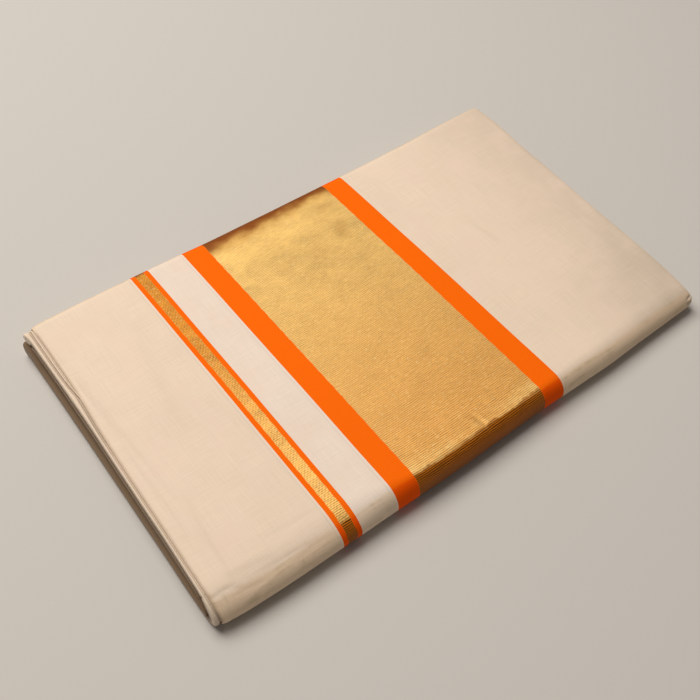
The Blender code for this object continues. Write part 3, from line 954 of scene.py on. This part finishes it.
def outer_pieces():
    """Each stretch of the outer ply as its own piece, in its own yarn, and its flat size."""
    points, edges = outer_ply()
    out = directions(points)
    u, v = lengths(points)
    nose = HEM_CELLS + len(stations(0, NOSE_TIP)) - 1
    v = v - v[nose]
    cut = np.stack([points[..., 0], v], axis=-1)
    rows = np.arange(len(points))
    shows = ((rows > HEM_CELLS) & (rows < HEM_CELLS + len(stations(0, ROLL_TIP))))[:, None]
    # Where it has turned down at its side: the materials paint shade there, and the gold's ribs stand
    # higher
    side = np.clip((SIDE_SHADE_FROM - out[..., 2]) / (SIDE_SHADE_FROM - SIDE_SHADE_FULL), 0, 1)
    # How deep its creases are, which the materials paint with shade
    deep = -creases(points[..., 0], points[..., 1]) / CREASE_SHADE_DEPTH
    # Painted shade beside the left edge, away from the nub
    away = (points[..., 0] - points[..., 0].min(axis=1, keepdims=True)) / EDGE_SHADE_WIDTH
    marks = {
        "side": np.where(shows, side, 1.0),
        "shade": EDGE_SHADE * np.exp(-away * away) * shows * (1 - nub(points[..., 1])),
        "crease": np.clip(deep, 0, 1) * shows,
    }
    stretches = (("cotton_field_left", None, "cotton"), *BANDS, ("cotton_field_right", None, "cotton"))
    pieces = {}
    sizes = {}
    for number, (name, _, yarn) in enumerate(stretches):
        first, last = edges[number], edges[number + 1]
        part = slice(first, last + 1)
        here = {mark: values[:, part] for mark, values in marks.items()}
        pieces[name] = make_sheet(name, points[:, part], cut[:, part], here,
                                  stretch_finish(name, yarn, number), name, out=out[:, part],
                                  closed=name == "cotton_field_right")
        sizes[name] = (float(np.mean(u[:, last] - u[:, first]) * MM),
                       float(np.mean(v[-1, part] - v[0, part]) * MM))
    return pieces, sizes


def layer_grid(stops, columns):
    """Points of a layer, each column at its place along the bundle and its share of the depth.

    The share runs from the outer ply, 0, to the slit, 1.
    """
    grid = []
    for x, share in columns:
        out = contour(stops, x, PLY + CORE_GAP)
        slit = contour(LAST - stops, x, PLY + CORE_GAP)
        grid.append(np.column_stack([x, out + (slit - out) * share[..., None]]))
    return np.stack(grid, axis=1)


def closed_ends(points, spine):
    """A layer with rows added at both ends, where it draws in round its own middle."""
    ends = []
    for last, before in ((0, 1), (-1, -2)):
        way = points[last] - points[before]
        way = way / np.maximum(np.linalg.norm(way, axis=-1, keepdims=True), NO_LENGTH)
        rows = []
        for turn in LAYER_TURNS:
            groove = LAYER_END_GROOVE * (1 - nested(turn, LAYER_FOLDS)) * min(turn, 1.0)
            reach = LAYER_ROUND * np.sin(turn) - groove
            rows.append(spine[last] + (points[last] - spine[last]) * np.cos(turn) + way * reach)
        ends.append(rows)
    return np.concatenate([ends[0], points, ends[1][::-1]])


def inner_layer(name, stops, near, far, edge, bulge, above, crest, phase, lit, hang=0.0):
    """A layer that ends in a round edge at the left, between two shares of the pad's depth.

    Clear of the edge of the ply above it, it swells up to its crest. It is left lit where its
    edge has turned up past an angle, and shade is painted on it below; lit gives that angle and
    both painted shades.
    """
    place = across(stops)
    nick = np.exp(-((place - NICK_PLACE) / NICK_WIDTH) ** 2)
    edge = edge + waver(place, phase) + NICK_DEPTH * nick
    groove = above - GROOVE
    bulge = np.minimum(bulge, (groove - edge) * CREST_PLACE)
    centre = (crest + far + hang) / 2
    half = (far + hang - crest) / 2
    top = edge + bulge
    lit_from, upper_shade, lower_shade = lit
    columns = [(0 * stops + FOLD_REACH, far), (top + NUB_SHELF, far)]
    shades = [0 * stops + 1.0, 0 * stops + 1.0]
    for angle in np.linspace(-np.pi / 2, np.pi / 2, ROLL_CELLS + 1):
        cos, sin = np.cos(angle), np.sin(angle)
        size = (cos ** ROLL_SQUARENESS + abs(sin) ** ROLL_SQUARENESS) ** (-1 / ROLL_SQUARENESS)
        columns.append((top - bulge * size * cos, centre - half * size * sin))
        # Painted shade: the upper shade past the angle, the lower shade below it, and more in the nick
        up = np.clip((np.degrees(angle) - lit_from) / LIT_TURN, 0, 1)
        shades.append(lower_shade + (upper_shade - lower_shade) * up + NICK_SHADE * nick)
    for angle in np.linspace(0, np.pi / 2, SHOULDER_CELLS + 1)[1:]:
        share = near - (near - crest) * np.cos(angle)
        columns.append((top + (groove - top) * np.sin(angle), share))
        shades.append(upper_shade + GROOVE_SHADE * (1 - np.cos(angle)) + NICK_SHADE * nick)
    for share in INSIDE_SHARES:
        columns.append((groove + (FOLD_REACH - groove) * share, near))
        shades.append(0 * stops + INSIDE_SHADE)
    spine = layer_grid(stops, [(np.maximum(x, top), centre) for x, _ in columns])
    points = closed_ends(layer_grid(stops, columns), spine)
    points[..., 2] = np.maximum(points[..., 2], 0.0)
    u, v = lengths(points)
    # Painted shade, fading at the closed ends
    shade = np.clip(np.stack(shades, axis=1), 0, 1)
    fade = LAYER_END_SHADE + (1 - LAYER_END_SHADE) * np.cos(LAYER_TURNS) ** LAYER_END_FADE
    shade = np.concatenate([shade[:1] * fade[:, None], shade, shade[-1:] * fade[::-1, None]])
    marks = {"side": 0 * u, "shade": shade, "crease": 0 * u}
    finish = cotton(name, slot="inner_cotton", colour=LAYER_COLOUR)
    piece = make_sheet(name, points, np.stack([u, v], axis=-1), marks, finish, name)


def layer_stations(start):
    """Stations of an inner layer, which stops short of the back roll's tip."""
    stop = ROLL_TIP - LAYER_SHORT
    return np.append(stations(start, stop - LEAST_STEP), stop)


def thick_fold():
    """The thick roll at the left end, whose lower arm is the rim that meets the surface."""
    stops = layer_stations(0)
    place = across(stops)
    lower = np.clip((NOSE_TIP - stops) / NOSE_BLEND, 0, 1)
    under = np.clip(UNDERSIDE - stops, 0, 1)
    room = SECOND_ROOM * np.clip(stops - SECOND_START + 1, 0, 1)
    risen = np.clip((place - RIM_RISES_FROM) / (RIM_RISEN - RIM_RISES_FROM), 0, 1) * under
    far = THICK_FOLD[1] + (1 - THICK_FOLD[1]) * lower + RIM_RISE * risen * risen * (3 - 2 * risen)
    outer = end("outer_ply", place)
    above = np.where(room > 0, np.minimum(outer, end("second_ply", place)), outer)
    tip = nub(place) * (1 - lower)
    # Painted shade: more towards the near left corner, on the rim and under the roll, less on the nub
    dark = ROLL_DARK * np.clip((ROLL_DARK_FROM - place) / ROLL_DARK_WIDTH, 0, 1) * (1 - lower)
    lit_from = ROLL_LIT_FROM - RIM_LIT_LOWER * lower - NUB_LIT_LOWER * tip
    inner_layer(
        "thick_inner_fold", stops,
        near=THICK_FOLD[0] + room,
        far=far,
        edge=end("fold", place) * (1 - lower) + end("lower_fold", place) * lower,
        bulge=THICK_BULGE,
        above=above * (1 - under) + OUTER_RECESS * under,
        crest=ROLL_CREST * (1 - lower) - LOWER_DROOP * under,
        phase=THICK_PHASE,
        lit=(lit_from, RIM_SHADE * lower + dark, ROLL_UNDER_SHADE - NUB_LIGHTER * tip),
        hang=NUB_HANG * tip,
    )


def thin_layer(name, start, shares, edge_column, proud, crest, phase, shade):
    """A single ply at the left end, from one station to the back roll."""
    stops = layer_stations(start)
    place = across(stops)
    edge = end(edge_column, place) - proud
    if proud:
        edge = edge + (proud + NUB_COVER) * nub(place)
    # Painted shade deepens towards the near left corner
    shade = shade + (THIN_DARK - shade) * np.clip((THIN_DARK_FROM - place) / THIN_DARK_WIDTH, 0, 1)
    inner_layer(
        name, stops,
        near=shares[0] + 0 * stops,
        far=shares[1] + 0 * stops,
        edge=edge,
        bulge=THIN_BULGE,
        above=np.maximum(end("outer_ply", place), edge + 2 * GROOVE),
        crest=crest + 0 * stops,
        phase=phase,
        lit=(THIN_LIT_FROM, shade, THIN_UNDER_SHADE + 0 * stops),
    )


def leaf_reach(x, number):
    """How far a leaf's edge stands out of the open back; each wavers in its own way."""
    reach = 0.0
    for size, length, growth, count, turn in LEAF_WAVES:
        reach += size * np.sin(x / (length + growth * (number % count)) + turn * number)
    return reach


def leaves(x, upper, lower):
    """The plies' edges at the open back, from the slit's corner down to the underside's."""
    angle = np.linspace(0, np.pi, LEAF_CELLS + 1)[:-1]
    groove = LEAF_GROOVE * (1 - np.sin(angle) ** LEAF_FULLNESS)
    rows = []
    for number in range(LEAVES):
        down = (number + (1 - np.cos(angle)) / 2) / LEAVES
        y = upper[0] + leaf_reach(x, number) - groove
        rows.append(np.column_stack([y, upper[1] * (1 - down) + lower[1] * down]))
    return np.concatenate(rows)


def hidden_layers():
    """The layers that nothing shows, with the plies' edges at the open back."""
    s = np.arange(0.0, LAST + 1)
    depth = PLY + CORE_GAP
    start = FOLD_REACH + SEAM
    right = end("right_end", across(s)) - END_ROLL
    columns = []
    for share in np.linspace(0, 1, CORE_COLUMNS):
        x = start + (right - start) * share
        points = contour(s, x, depth)
        rows = np.concatenate([points, leaves(x[0], points[-1], points[0])])
        reach = np.concatenate([x, np.full(len(rows) - len(x), x[0])])
        columns.append(np.column_stack([reach, rows]))
    first, last = columns[0], columns[-1]
    count = len(s)
    mirror = np.concatenate([np.arange(count)[::-1], np.arange(len(first) - 1, count - 1, -1)])
    flat = (first + first[mirror]) / 2
    columns.insert(0, np.column_stack([first[:, 0], flat[:, 1:]]))
    middle = (last + last[mirror]) / 2
    for turn in np.linspace(0, np.pi / 2, CORE_CAP_CELLS + 1)[1:]:
        column = middle + (last - middle) * np.cos(turn)
        column[:, 0] = last[:, 0] + (END_ROLL - depth) * np.sin(turn)
        columns.append(column)
    points = np.stack(columns, axis=1)
    points = np.concatenate([points, points[:1]])
    u, v = lengths(points)
    # Deep shade painted near the left end, short of the back
    dark = 1.0 * (points[..., 0] < DARK_INSIDE_TO) * (points[..., 1] < DARK_INSIDE_BACK)
    marks = {"side": 0 * u, "shade": dark, "crease": 0 * u}
    finish = cotton("hidden_layers", slot="inner_cotton", colour=CORE_COLOUR)
    make_sheet("hidden_layers", points, np.stack([u, v], axis=-1), marks, finish,
               "hidden_layers_core", closed=True)


def add_camera():
    """The camera at the photo's viewing angle."""
    azimuth = np.radians(CAMERA_AZIMUTH)
    elevation = np.radians(CAMERA_ELEVATION)
    away = Vector((np.sin(azimuth) * np.cos(elevation), -np.cos(azimuth) * np.cos(elevation),
                   np.sin(elevation)))
    data = bpy.data.cameras.new("camera")
    data.lens = CAMERA_LENS
    data.sensor_width = CAMERA_SENSOR
    camera = bpy.data.objects.new("camera", data)
    camera.location = Vector(CAMERA_TARGET) + away * CAMERA_DISTANCE
    camera.rotation_euler = (-away).to_track_quat("-Z", "Y").to_euler()
    bpy.context.scene.collection.objects.link(camera)
    bpy.context.scene.camera = camera


def add_floor():
    """A plain pale floor, which isn't part of the saree."""
    mesh = bmesh.new()
    bmesh.ops.create_grid(mesh, x_segments=1, y_segments=1, size=FLOOR_REACH)
    data = bpy.data.meshes.new("floor")
    mesh.to_mesh(data)
    mesh.free()
    floor = bpy.data.objects.new("floor", data)
    bpy.context.scene.collection.objects.link(floor)
    material = bpy.data.materials.new("floor")
    material.use_nodes = True
    shader = material.node_tree.nodes["Principled BSDF"]
    shader.inputs["Base Color"].default_value = (*FLOOR_COLOUR, 1.0)
    shader.inputs["Roughness"].default_value = FLOOR_ROUGHNESS
    data.materials.append(material)


def add_lights():
    """A large soft key light from behind, which faces the saree, and a faint light all round."""
    data = bpy.data.lights.new("key_light", "AREA")
    data.size = KEY_SIZE
    data.energy = KEY_POWER
    data.color = KEY_COLOUR
    light = bpy.data.objects.new("key_light", data)
    light.location = KEY_PLACE
    light.rotation_euler = (-Vector(KEY_PLACE)).to_track_quat("-Z", "Y").to_euler()
    bpy.context.scene.collection.objects.link(light)
    world = bpy.data.worlds.new("studio")
    world.use_nodes = True
    background = world.node_tree.nodes["Background"]
    background.inputs["Color"].default_value = (*AROUND_COLOUR, 1.0)
    background.inputs["Strength"].default_value = AROUND_STRENGTH
    bpy.context.scene.world = world
    bpy.context.scene.view_settings.view_transform = "Standard"


add_camera()
add_floor()
add_lights()
hidden_layers()
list(outer_pieces())
thick_fold()
thin_layer("thin_inner_ply", NOSE_TIP, THIN_PLY, "fold", proud=THIN_PROUD, crest=THIN_PLY[0],
           phase=THIN_PHASE, shade=THIN_SHADE)
thin_layer("second_ply", SECOND_START, SECOND_PLY, "second_ply", proud=0.0, crest=SECOND_CREST,
           phase=SECOND_PHASE, shade=0.0)
